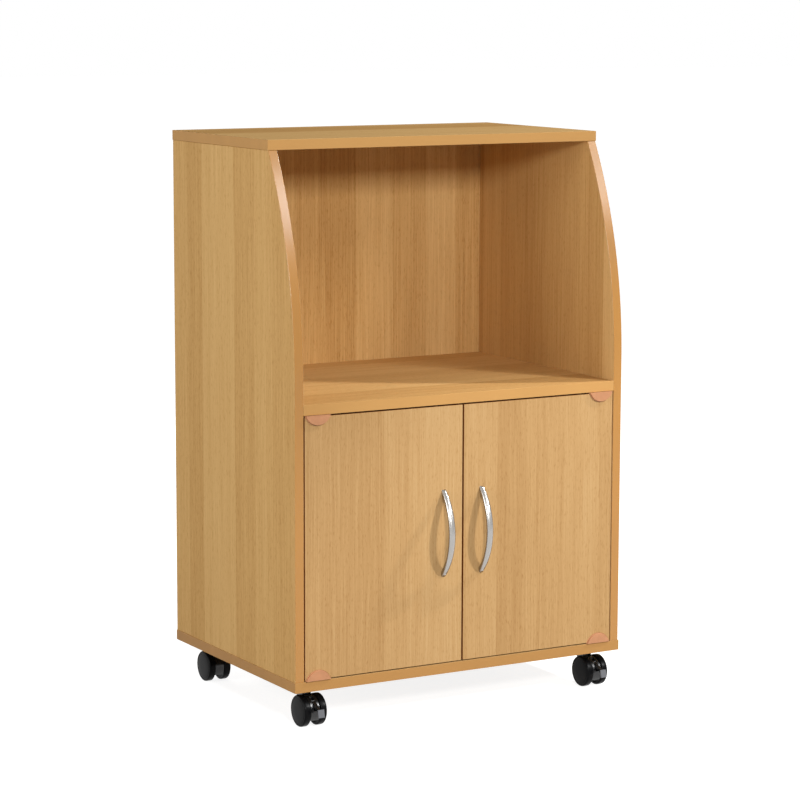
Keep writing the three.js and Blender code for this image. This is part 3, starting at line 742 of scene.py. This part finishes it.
def makeHood(node, name):
    # a drum over the axle, a boss round the post and a crown on top
    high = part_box(node)[1]
    x, past = middleOf(node)[0], carcass["past"]
    y, axle = middleOf(node.replace("hood", "left_wheel"))[1:]
    stem = node.replace("hood", "stem")
    post, stemFoot = middleOf(stem)[1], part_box(stem)[0].z
    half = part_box(node.replace("hood", "right_wheel"))[0].x - hood["wheelGap"] - x
    drum = addRod(name, hood["radius"], (x - half, y, axle), (x + half, y, axle), facets=96)
    trim(drum, (x, y, axle - hood["cut"]), (0, 0, -1))
    crownFoot = high.z - hood["crownHeight"]
    boss = addBlock("boss", (x - half, post - hood["boss"], axle - hood["bossDrop"]),
                    (x + half, post + hood["boss"], crownFoot + hood["overlap"]))
    crown = addRod("crown", hood["crown"], (x, post, crownFoot), (x, post, high.z), facets=64)
    combine(drum, "UNION", [boss, crown])
    if "front" in node:
        back = y - hood["slotBack"]
        slotLow = (x - hood["slot"] / 2, back - hood["radius"], hood["slotFloor"])
        combine(drum, "DIFFERENCE", [addBlock("slot", slotLow, (x + hood["slot"] / 2, back, high.z + past))])
    bore = addRod("bore", hood["bore"], (x, post, stemFoot - past), (x, post, high.z + past))
    combine(drum, "DIFFERENCE", [bore])
    dress(drum, casterPlastic)
    roundEdges(drum, hood["edge"], fromAngle=35)
    return drum


pedal = {
    "width": 10.5 * mm, "height": 12.5 * mm, "thick": 2.5 * mm, "lean": 12, "edge": 0.8 * mm,
    "forward": 28 * mm, "drop": 13 * mm,  # from the pivot to the middle of the plate
    "heel": 6 * mm, "armWidth": 5 * mm, "armThick": 4.8 * mm, "pin": 1.5 * mm,
    "reflectionGreyDepth": 2.6 * mm,  # the plate's front is painted grey as a reflection, and the arm behind it stays black
}


def makePedal():
    low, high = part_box("front_left_caster_brake_pedal")
    x = (low.x + high.x) / 2
    pivot = Vector((x, high.y - pedal["heel"] / 2, high.z - pedal["heel"] / 2))
    plateMiddle = pivot + Vector((0, -pedal["forward"], -pedal["drop"]))
    slope = math.atan2(pedal["drop"], pedal["forward"])
    length = math.hypot(pedal["drop"], pedal["forward"])
    onlySelect(None)
    bpy.ops.mesh.primitive_cube_add(size=1, location=(pivot + plateMiddle) / 2, rotation=(slope, 0, 0))
    bpy.context.object.scale = (pedal["armWidth"], length, pedal["armThick"])
    arm = settle("frontLeftPedal")
    halfArm = Vector((pedal["armWidth"] / 2, 0, 0))
    heel = addRod("heel", pedal["heel"] / 2, pivot - halfArm, pivot + halfArm)
    pins = addRod("pins", pedal["pin"], (low.x, pivot.y, pivot.z), (high.x, pivot.y, pivot.z), facets=32)
    onlySelect(None)
    lean = -math.radians(pedal["lean"])
    bpy.ops.mesh.primitive_cube_add(size=1, location=plateMiddle, rotation=(lean, 0, 0))
    bpy.context.object.scale = (pedal["width"], pedal["thick"], pedal["height"])
    plate = settle("plate")
    combine(arm, "UNION", [heel, pins, plate])
    roundEdges(arm, pedal["edge"], fromAngle=35)
    # the faces in front get the grey as a painted reflection; the arm behind stays black
    reflectionGreyBack = plateMiddle.y + pedal["reflectionGreyDepth"]
    dress(arm, pedalReflectionGrey, casterPlastic, lambda centre, normal: centre.y > reflectionGreyBack)
    return arm


def cornerShift(caster):
    here, there = (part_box(name + "_caster_stem")[0] for name in ("front_left", caster))
    return Vector((there.x - here.x, there.y - here.y, 0))


def camel(words):
    first, *rest = words.split("_")
    return first + "".join(word.title() for word in rest)


def makeCasters():
    leftWheel = makeWheel()
    modelled = {"left_wheel": leftWheel, "right_wheel": turnWheel(leftWheel), "brake_pedal": makePedal()}
    hoods = {}
    for caster in casterNames:
        end, shift = caster.split("_")[0], cornerShift(caster)
        for part, piece in modelled.items():
            if part == "brake_pedal" and end == "rear":
                continue
            if caster != "front_left":
                piece = copyPiece(piece, camel(caster + "_" + part), shift)
            slot = "pedal_grey" if part == "brake_pedal" else "caster_black"
            standIn(piece, slot, caster + "_caster_" + part)
        hoodNode, hoodName = caster + "_caster_hood", camel(caster + "_hood")
        if end in hoods:
            piece = copyPiece(hoods[end], hoodName, shift - cornerShift(end + "_left"))
        else:
            piece = hoods[end] = makeHood(hoodNode, hoodName)
        standIn(piece, "caster_black", hoodNode)


makeCasters()
print("casters made")


# parts that keep their shape: screws, pins, bushes, nuts, stems and axles

def dressNodes():
    for name, node in frame["nodes"].items():
        if not node.hide_render:
            dress(node, capPlastic if name.endswith("bush") else zincPlate)


dressNodes()


# studio: the camera, the lamps, a floor and a world that look white and light the cart softly

camera = {"place": (-2.2334, -3.8727, 1.1235), "lens": 125.62, "turn": -29.949, "tilt": 8.346, "roll": 0.158}
lamps = [  # strength 1 lights a white board that faces the lamp to plain white; a beam makes the lamp a spot
    {"name": "frontSoft", "turn": -18, "height": 20, "size": 0.38, "strength": 0.49},
    {"name": "sheenSoft", "turn": 35, "height": 32, "size": 0.9, "strength": 0.3, "aim": (0, -0.13, 0.8)},
    {"name": "doorKey", "turn": 36, "height": 35, "size": 0.02, "strength": 0.48,
     "beam": 0.6, "fade": 0.8, "aim": (0.06, -0.19, 0.08)},
    {"name": "shelfKey", "turn": 71, "height": 41, "size": 0.14, "strength": 0.62},
    {"name": "leftSoft", "turn": -80, "height": 15, "size": 1.5, "strength": 0.45},
    {"name": "rightSoft", "turn": 104, "height": 14, "size": 1.5, "strength": 0.12},
    {"name": "backSoft", "turn": 180, "height": 24, "size": 1.2, "strength": 0.5},
]
studio = {
    "fill": 0.09, "target": (0, 0, 0.45), "lampDistance": 3.3,
    "floorSize": 60, "floor": (0.42, 0.42, 0.42, 1), "floorRoughness": 0.9,
    "nearGlow": 0.86, "farGlow": 1.0, "near": 0.5, "far": 2.2,  # so that a faint shadow shows near the cart
}
white = (1, 1, 1, 1)


def setCamera():
    onlySelect(None)
    turn = Euler((math.radians(90 - camera["tilt"]), 0, math.radians(camera["turn"]))).to_matrix()
    turn = turn @ Matrix.Rotation(math.radians(camera["roll"]), 3, "Z")
    bpy.ops.object.camera_add(location=camera["place"], rotation=turn.to_euler())
    bpy.context.object.data.lens = camera["lens"]
    bpy.context.scene.camera = bpy.context.object
    bpy.context.scene.view_settings.view_transform = "Standard"


def hangLamps():
    distance = studio["lampDistance"]
    for lamp in lamps:
        target = Vector(lamp.get("aim", studio["target"]))
        turn, height = math.radians(lamp["turn"]), math.radians(lamp["height"])
        flat = math.cos(height)
        way = Vector((math.sin(turn) * flat, -math.cos(turn) * flat, math.sin(height)))
        kind = "SPOT" if "beam" in lamp else "AREA"
        bpy.ops.object.light_add(
            type=kind, location=target + way * distance, rotation=(-way).to_track_quat("-Z", "Y").to_euler())
        light = bpy.context.object
        light.name = lamp["name"]
        light.data.energy = lamp["strength"] * (math.pi * distance) ** 2
        if kind == "SPOT":
            light.data.energy *= 4  # a spot needs four times the power of an area lamp
            light.data.shadow_soft_size = lamp["size"]
            light.data.spot_size = 2 * math.atan(lamp["beam"] / distance)
            light.data.spot_blend = lamp["fade"]
        else:
            light.data.shape = "SQUARE"
            light.data.size = lamp["size"]


def seenBy(tree, first, *others):
    # 1 for the kinds of ray that are named, 0 for those that light the cart
    rays = addNode(tree, "LightPath").outputs
    seen = rays[first]
    for other in others:
        seen = addNode(tree, "Math", {0: seen, 1: rays[other]}, operation="MAXIMUM").outputs[0]
    return seen


def layFloor():
    bpy.ops.mesh.primitive_plane_add(size=studio["floorSize"])
    floor = settle("floor")
    material, tree, shader = newMaterial("paleFloor")
    shader.inputs["Base Color"].default_value = studio["floor"]
    shader.inputs["Roughness"].default_value = studio["floorRoughness"]
    shader.inputs["Specular IOR Level"].default_value = 0
    distance = addNode(tree, "VectorMath", {0: placeOn(tree)}, operation="LENGTH").outputs["Value"]
    level = addNode(tree, "MapRange", {
        "Value": distance, "From Min": studio["near"], "From Max": studio["far"],
        "To Min": studio["nearGlow"], "To Max": studio["farGlow"]}).outputs[0]
    seen = seenBy(tree, "Is Camera Ray", "Is Glossy Ray")
    strength = addNode(tree, "Math", {0: seen, 1: level}, operation="MULTIPLY").outputs[0]
    glow = addNode(tree, "Emission", {"Color": white, "Strength": strength})
    both = addNode(tree, "AddShader", {0: shader.outputs[0], 1: glow.outputs[0]})
    tree.links.new(both.outputs[0], tree.nodes["Material Output"].inputs["Surface"])
    floor.data.materials.append(material)


def lightWorld():
    world = bpy.data.worlds.new("studio")
    bpy.context.scene.world = world
    world.use_nodes = True
    tree = world.node_tree
    light = tree.nodes["Background"]
    light.inputs["Color"].default_value = white
    light.inputs["Strength"].default_value = studio["fill"]
    backdrop = addNode(tree, "Background", {"Color": white, "Strength": 1})
    seen = seenBy(tree, "Is Camera Ray", "Is Glossy Ray", "Is Transmission Ray")
    mixed = addNode(tree, "MixShader", {0: seen, 1: light.outputs[0], 2: backdrop.outputs[0]})
    tree.links.new(mixed.outputs[0], tree.nodes["World Output"].inputs["Surface"])


setCamera()
hangLamps()
layFloor()
lightWorld()
print("studio made")

onlySelect(None)
